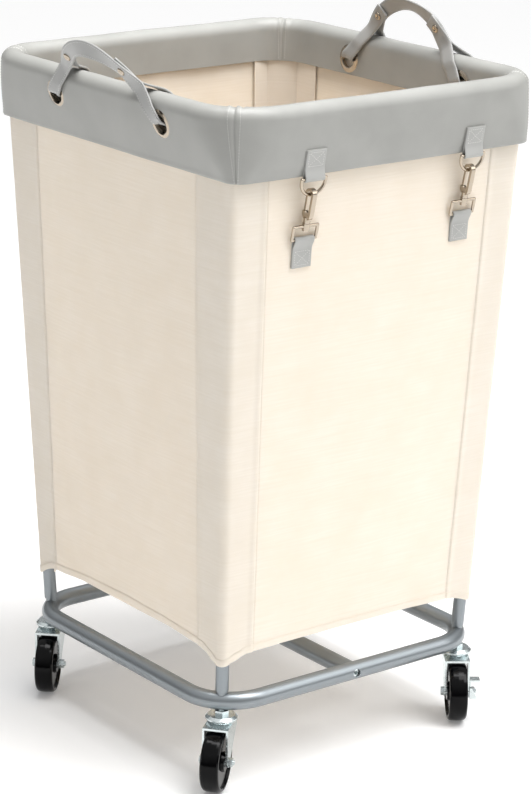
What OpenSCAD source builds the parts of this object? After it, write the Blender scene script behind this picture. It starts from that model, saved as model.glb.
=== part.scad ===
// Laundry sorter on wheels: a tapered canvas bag with a leather-look cuff, hung on four
// leaning posts over a square tube base that rolls on four swivel casters.
// Millimetres, +Z up, front towards -Y. The origin is on the floor under the middle of the whole
// object's box; the left handle leans out, so the base's middle stands a little to the right of it.

/* [Base and posts] */
// Width of the base ring between tube centres
base_x = 404; // [360:2:440]
// Depth of the base ring between tube centres
base_y = 404; // [360:2:440]
// Height of the base ring's tube centre
base_z = 105; // [104:1:112]
// Bend radius at the corners of both rings
bend_r = 60; // [50:1:70]
// Outside diameter of the ring tubes and the cross bar
tube_d = 22; // [20:0.5:24]
// Wall of the ring tubes
tube_wall = 1.5; // [1:0.1:2]
// Outside diameter of the posts
post_d = 16; // [14:0.5:18]
// Wall of the posts
post_wall = 1.5; // [1:0.1:2]
// Distance of each ring joint from the middle of its side
joint_x = 22; // [20:1:40]

/* [Top ring and cuff] */
// Width of the top ring between tube centres
top_x = 450; // [430:2:470]
// Depth of the top ring between tube centres
top_y = 486; // [466:2:500]
// Height of the top ring's tube centre
top_z = 814; // [760:2:860]
// Radius of the cuff's rolled crest
roll_r = 14.5; // [14:0.5:17]
// Thickness of the folded cuff
cuff_t = 2.2; // [1.6:0.2:2.6]
// Drop of the outer leaf below the top ring's centre
outer_drop = 69; // [60:1:80]
// Drop of the inner leaf below the top ring's centre
inner_drop = 39; // [37:1:45]
// Width across the outer leaf's lower edge
low_x = 442; // [438:2:456]
// Depth across the outer leaf's lower edge
low_y = 488; // [484:2:496]

/* [Bag] */
// Thickness of the bag's double canvas walls
wall_t = 2.4; // [1.6:0.2:3]
// Height of the lower edge of the walls
wall_low = 168; // [160:1:180]
// Height of the lower edge of the corner sleeves
sleeve_low = 155; // [145:1:160]
// Thickness of the bag's floor
floor_t = 4; // [3:0.5:6]
// Distance from a post to the sleeve's seam at the bottom
seam_low = 36; // [30:1:44]
// Distance from a post to the sleeve's seam at the top
seam_high = 40; // [30:1:60]

/* [Casters] */
// Diameter of the wheels
wheel_d = 75; // [70:1:75]
// Width of the wheels
wheel_w = 23; // [20:1:25]
// Trail of the wheel's axle behind the swivel axis
trail = 24; // [20:1:28]
// Heading of the front left caster
yaw_fl = 219; // [0:1:359]
// Heading of the front right caster
yaw_fr = 235; // [0:1:359]
// Heading of the back left caster
yaw_bl = 226; // [0:1:359]
// Heading of the back right caster
yaw_br = 230; // [0:1:359]

/* [Handles] */
// Middle of the handles along the rim
handle_y = -15; // [-20:1:20]
// Distance between a handle's two eyelets
eyelet_pitch = 214; // [200:2:230]
// Distance between a handle's two rivets
rivet_pitch = 110; // [100:2:120]
// Width of the handle straps
strap_w = 20; // [16:1:22]
// Thickness of the handle straps
strap_t = 3; // [2:0.2:3.6]
// Outward lean of the left handle
lean_left = 36; // [-40:1:60]
// Outward lean of the right handle
lean_right = -13; // [-40:1:60]

/* [Snap closures] */
// Distance between the two closures
snap_pitch = 236; // [200:2:260]
// Sideways shift of both closures from the middle
snap_shift = 4; // [-10:1:10]
// Width of the closure tabs
tab_w = 28; // [24:1:30]
// Diameter of the ring wire
wire_d = 4; // [3:0.2:4.4]

/* [Hidden] */
$fn = 48;

// Distance of the base's middle from the origin
mid_x = 22;

// Clearances
gap = 0.3;          // between soft parts and their neighbours
cope_gap = 0.05;    // between a tube's end and the tube it meets
pin_gap = 0.05;     // between a shaft and its bore

// Frame
tube_r = tube_d / 2;
post_r = post_d / 2;
corner_in = bend_r * (1 - cos(45));          // corner bend's inset from the square corner
foot_x = base_x / 2 - corner_in;
foot_y = base_y / 2 - corner_in;
head_x = top_x / 2 - corner_in;
head_y = top_y / 2 - corner_in;
post_rise = top_z - base_z;
function post_x(z) = foot_x + (head_x - foot_x) * (z - base_z) / post_rise;
function post_y(z) = foot_y + (head_y - foot_y) * (z - base_z) / post_rise;
post_lift = tube_r + 3;                      // post's end above the base tube's centre
plug_len = 30;
stem_d = 10;
screw_d = 6;
screw_head_d = 10;
sleeve_joint = 15;                           // half length of the ring's inner joint plugs

// Bag
skin_r = post_r + gap + 2.2;                 // outside of a sleeve around its post
ply_t = 1.5;                                 // thickness of a sleeve's inner ply
ply_in = post_r + gap - 0.2;                 // inner ply's outer face beside the post
behind = 20.3;                               // inner ply's two bends, measured back from the post
wall_high = top_z - 30;
sleeve_high = top_z - tube_r - 5;

// Cuff
low_corner = 20;                             // corner radius at the outer leaf's lower edge
inner_lean = 1.5;                            // inward lean of the inner leaf's lower edge
inner_x = top_x / 2 - roll_r - inner_lean;
inner_y = top_y / 2 - roll_r - inner_lean;
leaf_tilt = atan2(top_x / 2 + roll_r - low_x / 2, outer_drop);
inner_tilt = atan2(inner_lean, inner_drop);

// Casters
crown_z = 80;                                // top of the fork's crown plate
crown_t = 2.5;
arm_in = wheel_w / 2 + 1.8;                  // inside face of a fork arm
arm_t = 2.5;
race_d = 39;
axle_d = 6;
bush_d = 10;
// A corner is its x sign, its y sign and its caster's heading
FL = [-1, -1, yaw_fl];
FR = [1, -1, yaw_fr];
BL = [-1, 1, yaw_bl];
BR = [1, 1, yaw_br];
CORNERS = [FL, FR, BL, BR];

// Handles
pivot_h = 30;                                // bend line above the top ring's centre
rivet_h = 44;
rivet_r = 1.8;
arch_rise = 35;
arch_r = (pow(rivet_pitch / 2, 2) + pow(arch_rise, 2)) / (2 * arch_rise);
arch_h = rivet_h + arch_rise - arch_r;
arch_end = asin(rivet_pitch / 2 / arch_r);
bend_half = rivet_pitch / 2 + 11;            // bend line's middle from the handle's middle
bend_gap = 4;                                // free strap above the bend line
leg_gap = 9;                                 // free strap below the bend line
leg_spread = 5;                              // strap legs on both sides of the handle's plane
loop_r = roll_r + strap_t / 2 + 1.2;         // strap's middle around the crest
eyelet_z = top_z - 19;
eyelet_r = 18;
eyelet_hole = 11.5;
washer_r = 14.5;                             // eyelet's washer behind the leaf

// Snap closures
bar_stand = wire_d / 2 + 2.6;                // a bar's distance in front of its fabric
d_bar_z = 742;
base_bar_z = 669;
function cuff_low_y(z) = lerp(low_y / 2, top_y / 2 + roll_r, (z - top_z + outer_drop) / outer_drop);
function bag_face_y(z) = post_y(z) + skin_r;
d_bar_y = -(cuff_low_y(d_bar_z + 3) + bar_stand);
base_bar_y = -(bag_face_y(base_bar_z) + bar_stand);
chain = norm([d_bar_y - base_bar_y, d_bar_z - base_bar_z]);
chain_tilt = atan2(base_bar_y - d_bar_y, d_bar_z - base_bar_z);
tab_len = 35;
d_half = tab_w / 2 + 1 + wire_d / 2;         // half width of a wire ring between wire centres
bow = 20;                                    // drop of the D ring's bow below its bar
loop_high = 16;                              // heights along a closure, from its lower bar
barrel_low = 12.5;
barrel_high = 20;
shank_r = 2.5;
hook_low = 24;
hook_t = 6;
gate_t = 3;
slot_r = 3.5;
hook_r = 7;
eye_z = chain - bow + wire_d / 2 + 2.2 - slot_r;     // middle of the hook's nose
slot_low = hook_low + 8;
gate_low = slot_low - 1.5;
gate_high = eye_z - 3.5;
gate_y = (slot_r + hook_r) / 2;

// Colours
tube_grey = "#8f9497";
zinc = "#c9d1d0";
nickel = "#cfc8bd";
tyre_black = "#161616";
canvas = "#efe3d2";
pu_grey = "#b4b4af";

function lerp(a, b, t) = a + (b - a) * t;
function unit(v) = v / norm(v);

// ---- general shapes ----

// A closed surface through equal rings of points, with flat ends.
module skin(rings) {
    n = len(rings[0]);
    m = len(rings);
    sides = [for (i = [0:m - 2]) for (j = [0:n - 1])
        let (k = (j + 1) % n, a = i * n + j, b = i * n + k, c = (i + 1) * n + j, d = (i + 1) * n + k)
        each [[a, b, c], [b, d, c]]];
    first = [for (j = [n - 1:-1:0]) j];
    last = [for (j = [0:n - 1]) (m - 1) * n + j];
    polyhedron(points = [for (r = rings) each r], faces = concat(sides, [first], [last]));
}

// The same through rings that are a thin folded strip: out along one face and back along the other.
module folded_skin(rings) {
    n = len(rings[0]);
    m = len(rings);
    sides = [for (i = [0:m - 2]) for (j = [0:n - 1])
        let (k = (j + 1) % n, a = i * n + j, b = i * n + k, c = (i + 1) * n + j, d = (i + 1) * n + k)
        each [[a, b, c], [b, d, c]]];
    first = [for (j = [0:n / 2 - 2]) each [[j + 1, j, n - 1 - j], [j + 1, n - 1 - j, n - 2 - j]]];
    last = [for (t = first) [for (k = [2:-1:0]) (m - 1) * n + t[k]]];
    polyhedron(points = [for (r = rings) each r], faces = concat(sides, first, last));
}

// One leg of a tube along X, Y or a given turn, from its own origin.
module leg(length, r) {
    rotate([0, 90, 0]) cylinder(h = length, r = r);
}

// A quarter bend of a tube, turning from +X to +Y about its own origin.
module bend(r) {
    rotate_extrude(angle = 90) translate([bend_r, 0]) circle(r = r);
}

// The solid of the half ring that holds the left side, with its two joint ends.
module half_ring_bar(x, y, r, over) {
    reach = x / 2 - bend_r;
    translate([-reach, -y / 2, 0]) leg(reach - joint_x + over, r);
    translate([-reach, -y / 2 + bend_r, 0]) rotate([0, 0, 180]) bend(r);
    translate([-x / 2, -y / 2 + bend_r, 0]) rotate([0, 0, 90]) leg(y - 2 * bend_r, r);
    translate([-reach, y / 2 - bend_r, 0]) rotate([0, 0, 90]) bend(r);
    translate([-reach, y / 2, 0]) leg(reach + joint_x + over, r);
}

module half_ring(x, y) {
    difference() {
        half_ring_bar(x, y, tube_r, 0);
        half_ring_bar(x, y, tube_r - tube_wall, 1);
    }
}

// A straight rod between the foot and the head of one post, from s to e along it.
module post_rod(c, r, s, e) {
    foot = [c[0] * foot_x, c[1] * foot_y, base_z];
    head = [c[0] * head_x, c[1] * head_y, top_z];
    d = head - foot;
    translate(foot) rotate([0, acos(d[2] / norm(d)), atan2(d[1], d[0])])
        translate([0, 0, s]) cylinder(h = e - s, r = r);
}
post_len = norm([head_x - foot_x, head_y - foot_y, post_rise]);

// The outside of one ring's corner bend, to cope whatever meets it.
module corner_tube(c, x, y, z, r) {
    translate([c[0] * (x / 2 - bend_r), c[1] * (y / 2 - bend_r), z])
        rotate([0, 0, c[1] > 0 ? (c[0] > 0 ? 0 : 90) : (c[0] > 0 ? 270 : 180)]) bend(r);
}

module at_foot(c) {
    translate([c[0] * foot_x, c[1] * foot_y, 0]) children();
}

// ---- frame ----

module base_half(side) {
    rotate([0, 0, side < 0 ? 0 : 180]) difference() {
        translate([0, 0, base_z]) half_ring(base_x, base_y);
        for (s = [-1, 1]) at_foot([-1, s]) translate([0, 0, base_z - 20])
            cylinder(h = 40, r = stem_d / 2 + pin_gap);
        // counterbore outside, screw hole inside, for the cross bar's screw
        translate([0, base_y / 2, base_z]) rotate([-90, 0, 0]) cylinder(h = 20, r = screw_head_d / 2 + 0.3);
        translate([0, base_y / 2, base_z]) rotate([90, 0, 0]) cylinder(h = 20, r = screw_d / 2 + pin_gap);
    }
}

module base_ring_left() {
    color(tube_grey) base_half(-1);
}

module base_ring_right() {
    color(tube_grey) base_half(1);
}

module cross_bar() {
    color(tube_grey) difference() {
        translate([0, base_y / 2, base_z]) rotate([90, 0, 0]) difference() {
            cylinder(h = base_y, r = tube_r);
            translate([0, 0, -1]) cylinder(h = base_y + 2, r = tube_r - tube_wall);
        }
        for (s = [-1, 1]) translate([-30, s * base_y / 2, base_z]) leg(60, tube_r + cope_gap);
    }
}

// Plugs inside the tubes: ring joints, cross bar ends and the threaded feet of the posts.
module tube_plugs() {
    plug_r = tube_r - tube_wall - cope_gap;
    color(zinc) {
        for (z = [base_z, top_z]) {
            y = z == base_z ? base_y / 2 : top_y / 2;
            translate([-joint_x - sleeve_joint, -y, z]) leg(2 * sleeve_joint, plug_r);
            translate([joint_x - sleeve_joint, y, z]) leg(2 * sleeve_joint, plug_r);
        }
        for (s = [0, 180]) rotate([0, 0, s]) difference() {
            translate([0, -base_y / 2 + tube_r + 5, base_z]) rotate([-90, 0, 0]) cylinder(h = 25, r = plug_r);
            translate([0, -base_y / 2, base_z]) rotate([-90, 0, 0])
                cylinder(h = 60, r = screw_d / 2 + pin_gap);
        }
        for (c = CORNERS) difference() {
            post_rod(c, post_r - post_wall - cope_gap, 0, plug_len);
            corner_tube(c, base_x, base_y, base_z, tube_r + cope_gap);
            at_foot(c) cylinder(h = base_z + tube_r + 12, r = stem_d / 2 + pin_gap);
        }
    }
}

module cross_bar_screws() {
    color(zinc) for (s = [0, 180]) rotate([0, 0, s]) translate([0, -base_y / 2 - tube_r + 3, base_z])
        rotate([-90, 0, 0]) difference() {
            union() {
                cylinder(h = 6, r = screw_head_d / 2);
                cylinder(h = 44, r = screw_d / 2);
            }
            translate([0, 0, -1]) cylinder(h = 4, r = 2.9, $fn = 6);
        }
}

module post(c) {
    color(tube_grey) difference() {
        post_rod(c, post_r, post_lift, post_len);
        post_rod(c, post_r - post_wall, 0, post_len + 1);
        corner_tube(c, top_x, top_y, top_z, tube_r + cope_gap);
    }
}

module top_ring(side) {
    color(tube_grey) rotate([0, 0, side < 0 ? 0 : 180]) translate([0, 0, top_z]) half_ring(top_x, top_y);
}

// ---- casters ----

module at_caster(c) {
    at_foot(c) rotate([0, 0, c[2]]) children();
}

// Threaded stem with the fixed upper race of the swivel.
module stem(c) {
    color(zinc) at_caster(c) {
        translate([0, 0, 74]) cylinder(h = 2.8, r = 7);
        translate([0, 0, 74]) cylinder(h = base_z + tube_r + 10 - 74, r = stem_d / 2);
        rotate_extrude() polygon([
            [0, 84.2], [15, 84.2], [race_d / 2, 83.4], [race_d / 2, 85.4], [16.5, 88.2], [0, 88.2]]);
    }
}

module stem_nuts() {
    color(zinc) for (c = CORNERS) at_foot(c) translate([0, 0, 88.2]) difference() {
        cylinder(h = 5.4, r = 9.2, $fn = 6);
        translate([0, 0, -1]) cylinder(h = 8, r = stem_d / 2 + pin_gap);
        corner_tube_at_foot(c);
    }
}

// The base ring's tube seen from a foot, to keep a nut clear of it.
module corner_tube_at_foot(c) {
    translate([-c[0] * foot_x, -c[1] * foot_y, -88.2])
        corner_tube(c, base_x, base_y, base_z, tube_r + cope_gap);
}

// Outline of a fork arm in the trail and height plane.
module arm_outline() {
    difference() {
        union() {
            polygon([[-13, crown_z - 0.5], [-13, 72], [trail - 6.5, wheel_d / 2], [trail + 6, wheel_d / 2],
                [trail + 6, crown_z - 0.5]]);
            translate([trail, wheel_d / 2]) circle(r = 6.4);
        }
        translate([trail, wheel_d / 2]) circle(r = axle_d / 2 + pin_gap);
    }
}

module crown_outline() {
    circle(r = 15);
    translate([0, -arm_in - arm_t]) square([trail + 6, 2 * (arm_in + arm_t)]);
    translate([-13, -arm_in - arm_t]) square([20, 2 * (arm_in + arm_t)]);
}

module fork(c) {
    color(zinc) at_caster(c) {
        difference() {
            union() {
                translate([0, 0, crown_z - crown_t]) linear_extrude(crown_t) crown_outline();
                translate([0, 0, crown_z]) cylinder(h = 3.2, r1 = 17.5, r2 = race_d / 2);
            }
            translate([0, 0, crown_z - 5]) cylinder(h = 12, r = stem_d / 2 + pin_gap);
        }
        for (s = [-1, 1]) translate([0, s * (arm_in + arm_t / 2) + arm_t / 2, 0]) rotate([90, 0, 0])
            linear_extrude(arm_t) arm_outline();
    }
}

module at_axle(c) {
    at_caster(c) translate([trail, 0, wheel_d / 2]) rotate([-90, 0, 0]) children();
}

// Axle bolt, its nut and the bush that the wheel turns on.
module axle(c, braked) {
    out = arm_in + arm_t;
    lever = braked ? 2.4 : 0;
    color(zinc) at_axle(c) {
        translate([0, 0, -out - 4]) cylinder(h = 4, r = 5.6, $fn = 6);
        translate([0, 0, -out - 1]) cylinder(h = 2 * out + lever + 8, r = axle_d / 2);
        translate([0, 0, out + lever]) difference() {
            cylinder(h = 5, r = 5.6, $fn = 6);
            translate([0, 0, -1]) cylinder(h = 7, r = axle_d / 2 + pin_gap);
        }
        difference() {
            translate([0, 0, -arm_in]) cylinder(h = 2 * arm_in, r = bush_d / 2);
            translate([0, 0, -arm_in - 1]) cylinder(h = 2 * arm_in + 2, r = axle_d / 2 + pin_gap);
        }
    }
}

// Half the wheel's section: hub, dished side, rim line and rounded tread.
function wheel_half(s) = [
    [bush_d / 2 + pin_gap, s * (wheel_w / 2 + 0.8)],
    [11, s * (wheel_w / 2 + 0.8)], [12.5, s * (wheel_w / 2 - 2.6)],
    [wheel_d / 2 - 7, s * (wheel_w / 2 - 2.6)], [wheel_d / 2 - 5, s * (wheel_w / 2)],
    [wheel_d / 2 - 2.6, s * (wheel_w / 2 - 0.3)], [wheel_d / 2 - 0.9, s * (wheel_w / 2 - 2)],
    [wheel_d / 2 - 0.2, s * (wheel_w / 2 - 5)]
];

module wheel(c) {
    top = wheel_half(1);
    low = wheel_half(-1);
    color(tyre_black) at_axle(c) rotate_extrude($fn = 72)
        polygon(concat(low, [[wheel_d / 2, 0]], [for (i = [len(top) - 1:-1:0]) top[i]]));
}

// Side brake: a plate that turns on the axle, with a foot pedal above it and a release tab.
module brake(c) {
    out = arm_in + arm_t + 0.2;
    color(zinc) at_axle(c) translate([0, 0, out]) {
        linear_extrude(2) difference() {
            union() {
                circle(r = 9);
                translate([-6, -17]) square([13, 17]);
            }
            circle(r = axle_d / 2 + pin_gap);
        }
        translate([-6, -17, 0]) cube([13, 2, 13]);
        translate([9.5, 0, 0]) rotate([0, -90, 0]) linear_extrude(2)
            polygon([[0, -7], [3, -7], [8.5, 4], [8.5, 7], [0, 7]]);
    }
}

// ---- bag ----

function seam_gap(z) = lerp(seam_low, seam_high, (z - wall_low) / (top_z - wall_low));
function seam_x(z) = post_x(z) - seam_gap(z);
function seam_y(z) = post_y(z) - seam_gap(z) - 20 * (z - wall_low) / (top_z - wall_low);

// A wall panel between two seams; half(z) is its half width and face(z) its outer distance.
module wall_panel(halves, faces) {
    skin([for (s = [-1, 1]) [
        [s * halves[0], -faces[0], wall_low], [s * halves[1], -faces[1], wall_high],
        [s * halves[1], -faces[1] + wall_t, wall_high], [s * halves[0], -faces[0] + wall_t, wall_low]
    ]]);
}

module wall_y(s) {
    color(canvas) rotate([0, 0, s < 0 ? 0 : 180])
        wall_panel([seam_x(wall_low), seam_x(wall_high)],
            [post_y(wall_low) + skin_r, post_y(wall_high) + skin_r]);
}

module wall_x(s) {
    color(canvas) rotate([0, 0, s < 0 ? 270 : 90])
        wall_panel([seam_y(wall_low), seam_y(wall_high)],
            [post_x(wall_low) + skin_r, post_x(wall_high) + skin_r]);
}

// Inner ply of a sleeve at height z: beside the post, behind it and along the front; o moves it inwards.
function ply_line(z, o) = let (p = [post_x(z), post_y(z)], e = ply_in - o, d = behind + o * tan(22.5)) [
    [p[0] + e, seam_y(z)], [p[0] + e, p[1] - d], [p[0] - d, p[1] + e], [seam_x(z), p[1] + e]];

// Whole section of a sleeve at height z: outer ply round the post, folded at the side seam.
function sleeve_section(z) = let (p = [post_x(z), post_y(z)], r = post_r + gap, f = ply_line(z, 0)) concat(
    [[seam_x(z), p[1] + skin_r]],
    [for (a = [90:-15:0]) p + skin_r * [cos(a), sin(a)]],
    [[p[0] + skin_r, seam_y(z)]],
    ply_line(z, ply_t),
    [f[3], f[2], f[1], [f[1][0], f[1][1] - 3], [p[0] + r, f[1][1] - 3]],
    [for (a = [0:15:90]) p + r * [cos(a), sin(a)]],
    [[seam_x(z), p[1] + r]]);

function flip(points, c, z) = [for (p = points) [c[0] * p[0], c[1] * p[1], z]];
function turned(points, c) = c[0] * c[1] > 0 ? points : [for (k = [len(points) - 1:-1:0]) points[k]];

module sleeve(c) {
    color(canvas) skin([for (z = [sleeve_low, sleeve_high]) turned(flip(sleeve_section(z), c, z), c)]);
}

module bag_floor() {
    corner = ply_line(wall_low, ply_t + gap);
    q = [corner[1], corner[2]];
    color(canvas) translate([0, 0, wall_low]) linear_extrude(floor_t) polygon([
        q[0], q[1], [-q[1][0], q[1][1]], [-q[0][0], q[0][1]], [-q[0][0], -q[0][1]], [-q[1][0], -q[1][1]],
        [q[1][0], -q[1][1]], [q[0][0], -q[0][1]]]);
}

// ---- cuff ----

// A point of the cuff on the corner at angle mid, where the corner's arc stands at angle a.
function rim_point(s, mid, a) = [
    sign(cos(mid)) * (s[0] - s[2]) + s[2] * cos(a), sign(sin(mid)) * (s[1] - s[2]) + s[2] * sin(a), s[3]];

// Section of the cuff as [half width, half depth, corner radius, height], outer leaf first.
function roll_at(r, a) = [
    top_x / 2 + r * cos(a), top_y / 2 + r * cos(a), bend_r + r * cos(a), top_z + r * sin(a)];
CUFF = concat(
    [[low_x / 2, low_y / 2, low_corner, top_z - outer_drop]],
    [for (a = [0:20:180]) roll_at(roll_r, a)],
    [[inner_x, inner_y, bend_r - roll_r - inner_lean, top_z - inner_drop]],
    [[inner_x + cuff_t, inner_y + cuff_t, bend_r - roll_r - inner_lean + cuff_t, top_z - inner_drop]],
    [for (a = [180:-20:0]) roll_at(roll_r - cuff_t, a)],
    [[low_x / 2 - cuff_t, low_y / 2 - cuff_t, low_corner - cuff_t, top_z - outer_drop]]);

module cuff_panel(face) {
    stations = concat([for (a = [-45:7.5:0]) [face - 45, face + a]],
        [for (a = [0:7.5:45]) [face + 45, face + a]]);
    folded_skin([for (t = stations) [for (s = CUFF) rim_point(s, t[0], t[1])]]);
}

function leaf_x(z) = lerp(low_x / 2, top_x / 2 + roll_r, (z - top_z + outer_drop) / outer_drop);
function inner_leaf_x(z) = lerp(inner_x, top_x / 2 - roll_r, (z - top_z + inner_drop) / inner_drop);

// Puts children on the four eyelet places of one side, facing away from the ring on both leaves.
module at_eyelets(s) {
    for (e = [-1, 1]) {
        translate([s * (leaf_x(eyelet_z) - cuff_t / 2), handle_y + e * eyelet_pitch / 2, eyelet_z])
            rotate([0, s * (90 + leaf_tilt), 0]) children();
        translate([s * (inner_leaf_x(eyelet_z) + cuff_t / 2), handle_y + e * eyelet_pitch / 2, eyelet_z])
            rotate([0, s * (inner_tilt - 90), 0]) children();
    }
}

module cuff_side(s) {
    color(pu_grey) difference() {
        cuff_panel(s > 0 ? 0 : 180);
        at_eyelets(s) translate([0, 0, -cuff_t]) cylinder(h = 2 * cuff_t, r = eyelet_hole + 1.6);
    }
}

module cuff_end(s) {
    color(pu_grey) cuff_panel(s > 0 ? 90 : 270);
}

// Eyelet: a barrel through the leaf, a wide rolled flange in front and a narrow washer behind.
module eyelet() {
    half = cuff_t / 2 + 0.05;
    rotate_extrude() polygon([
        [eyelet_hole, -half - 0.8], [eyelet_hole + 1, -half - 1.1], [washer_r, -half - 0.9], [washer_r, -half],
        [eyelet_hole + 1.5, -half], [eyelet_hole + 1.5, half], [eyelet_r, half],
        [eyelet_r - 2.5, half + 1.2], [eyelet_hole + 1, half + 1.5], [eyelet_hole, half + 1]]);
}

module eyelets() {
    color(nickel) for (s = [-1, 1]) at_eyelets(s) eyelet();
}

// ---- handles ----

// Children stand in the handle's own plane: X along the rim, Y up from the rim's centre, Z outwards.
module in_handle_plane(s, lean) {
    translate([s * top_x / 2, handle_y, top_z]) rotate([0, s * lean, 0])
        rotate([90, 0, s > 0 ? 90 : -90]) children();
}

// Path of a strap leg round the rim as [outwards, up]; k is 1 for the outer leg and -1 for the inner.
function leg_path(k, lean) =
    let (tip = (pivot_h - leg_gap) * [sin(lean), cos(lean)] + k * leg_spread * [cos(lean), -sin(lean)],
         along = atan2(tip[1], tip[0]), off = acos(loop_r / norm(tip)), last = along - k * off,
         first = k > 0 ? min(-12, last - 8) : max(186, last + 8), down = eyelet_z - top_z,
         leaf = k > 0 ? leaf_x(eyelet_z) - top_x / 2 : inner_leaf_x(eyelet_z) - top_x / 2)
    concat([[0, down], [leaf + k * 1.5, down], [leaf + k * 5.5, down + 4]],
        [for (i = [0:5]) let (a = lerp(first, last, i / 5)) loop_r * [cos(a), sin(a)]], [tip]);

eyelet_drop = top_z - eyelet_z;
function along_rim(up) = lerp(eyelet_pitch / 2, bend_half, (up + eyelet_drop) / (pivot_h + eyelet_drop));

// One strap leg, a band as wide as the strap that follows the path and slants along the rim.
module strap_leg(s, e, k, lean) {
    path = leg_path(k, lean);
    n = len(path);
    rings = [for (i = [0:n - 1]) let (
        t = unit(path[min(i + 1, n - 1)] - path[max(i - 1, 0)]), out = strap_t / 2 * [t[1], -t[0]],
        w = strap_w / 2 - 0.5, y = e * along_rim(path[i][1]))
        [for (q = [[-1, -1], [1, -1], [1, 1], [-1, 1]])
            [s * (top_x / 2 + path[i][0] + q[1] * out[0]), handle_y + y + q[0] * w,
             top_z + path[i][1] + q[1] * out[1]]]];
    skin(s > 0 ? rings : [for (i = [n - 1:-1:0]) rings[i]]);
}

module handle_loops() {
    color(pu_grey) for (h = [[-1, lean_left], [1, lean_right]]) for (e = [-1, 1]) for (k = [-1, 1])
        strap_leg(h[0], e, k, h[1]);
}

// Outline of the grip's arch, a ring cut off along two rays.
module arch_outline() {
    intersection() {
        translate([0, arch_h]) difference() {
            circle(r = arch_r + strap_w / 2, $fn = 96);
            circle(r = arch_r - strap_w / 2, $fn = 96);
        }
        polygon([[0, arch_h], [-120, arch_h + 120 / tan(arch_end)], [-120, 200], [120, 200],
            [120, arch_h + 120 / tan(arch_end)]]);
    }
}

// Straight foot of the grip between the arch's end and the bend line; w is its width.
module grip_foot(e, w) {
    polygon([
        [e * (arch_r - w / 2) * sin(arch_end - 3), arch_h + (arch_r - w / 2) * cos(arch_end - 3)],
        [e * (arch_r + w / 2) * sin(arch_end - 3), arch_h + (arch_r + w / 2) * cos(arch_end - 3)],
        [e * (bend_half + w / 2), pivot_h + bend_gap], [e * (bend_half - w / 2), pivot_h + bend_gap]]);
}

// Inner ply of a grip's foot with the strap's squared end, where the rivet goes through.
module grip_end(e) {
    grip_foot(e, strap_w - 2);
    translate([e * rivet_pitch / 2, rivet_h]) rotate([0, 0, e * (90 - arch_end)])
        translate([-strap_w / 2 + 0.4, -5]) square([strap_w - 0.8, 19]);
}

module grip(s, lean) {
    color(pu_grey) in_handle_plane(s, lean) difference() {
        union() {
            linear_extrude(strap_t) {
                arch_outline();
                for (e = [-1, 1]) grip_foot(e, strap_w - 0.6);
            }
            translate([0, 0, -strap_t]) linear_extrude(strap_t + 0.5) for (e = [-1, 1]) grip_end(e);
        }
        for (e = [-1, 1]) translate([e * rivet_pitch / 2, rivet_h, -10])
            cylinder(h = 20, r = rivet_r + pin_gap);
    }
}

module handle_left() {
    grip(-1, lean_left);
}

module handle_right() {
    grip(1, lean_right);
}

module rivets(s, lean) {
    color(nickel) in_handle_plane(s, lean) for (e = [-1, 1]) translate([e * rivet_pitch / 2, rivet_h, 0]) {
        cylinder(h = 2 * strap_t, r = rivet_r, center = true);
        for (k = [0, 1]) mirror([0, 0, k]) translate([0, 0, strap_t]) cylinder(h = 1.4, r1 = 4.5, r2 = 3.2);
    }
}

// ---- snap closures ----

function snap_x(s) = s * snap_pitch / 2 + snap_shift;

// Children stand on the lower bar with +Z along the closure towards the upper bar.
module in_chain(s) {
    translate([snap_x(s), base_bar_y, base_bar_z]) rotate([chain_tilt, 0, 0]) children();
}

// A folded tab of strap that holds a wire bar; the bar is at the origin and the strap runs up.
module tab(length) {
    difference() {
        union() {
            translate([-tab_w / 2, bar_stand - gap - 3.4, 0]) cube([tab_w, 3.4, length]);
            rotate([0, 90, 0]) cylinder(h = tab_w, r = wire_d / 2 + 2.2, center = true);
        }
        rotate([0, 90, 0]) cylinder(h = tab_w + 2, r = wire_d / 2 + 0.1, center = true);
    }
}

module cuff_tabs() {
    color(pu_grey) for (s = [-1, 1]) translate([snap_x(s), d_bar_y, d_bar_z])
        rotate([atan2(top_y / 2 + roll_r - low_y / 2, outer_drop), 0, 0]) tab(tab_len);
}

module bag_tabs() {
    color(pu_grey) for (s = [-1, 1]) translate([snap_x(s), base_bar_y, base_bar_z])
        rotate([atan2(head_y - foot_y, post_rise), 0, 0]) mirror([0, 0, 1]) tab(tab_len);
}

module wire(a, b) {
    d = b - a;
    translate(a) rotate([0, acos(d[2] / norm(d)), atan2(d[1], d[0])]) cylinder(h = norm(d), r = wire_d / 2);
}

module d_ring(s) {
    side = bow - d_half;
    color(nickel) in_chain(s) translate([0, 0, chain]) {
        wire([-d_half, 0, 0], [d_half, 0, 0]);
        for (e = [-1, 1]) {
            translate([e * d_half, 0, 0]) sphere(r = wire_d / 2);
            wire([e * d_half, 0, -side], [e * d_half, 0, 0]);
        }
        translate([0, 0, -side]) rotate([-90, 0, 0]) rotate_extrude(angle = 180)
            translate([d_half, 0]) circle(r = wire_d / 2);
    }
}

module loop_base(s) {
    color(nickel) in_chain(s) difference() {
        union() {
            for (e = [-1, 1]) {
                for (z = [0, loop_high]) translate([e * d_half, 0, z]) sphere(r = wire_d / 2);
                wire([e * d_half, 0, 0], [e * d_half, 0, loop_high]);
            }
            for (z = [0, loop_high]) wire([-d_half, 0, z], [d_half, 0, z]);
            translate([0, 0, barrel_low]) cylinder(h = barrel_high - barrel_low, r = 4.4);
        }
        translate([0, 0, barrel_low - 1]) cylinder(h = barrel_high - barrel_low + 2, r = shank_r + pin_gap);
    }
}

module capsule(r, a, b) {
    translate([0, a]) circle(r = r);
    translate([0, b]) circle(r = r);
    translate([-r, a]) square([2 * r, b - a]);
}

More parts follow.
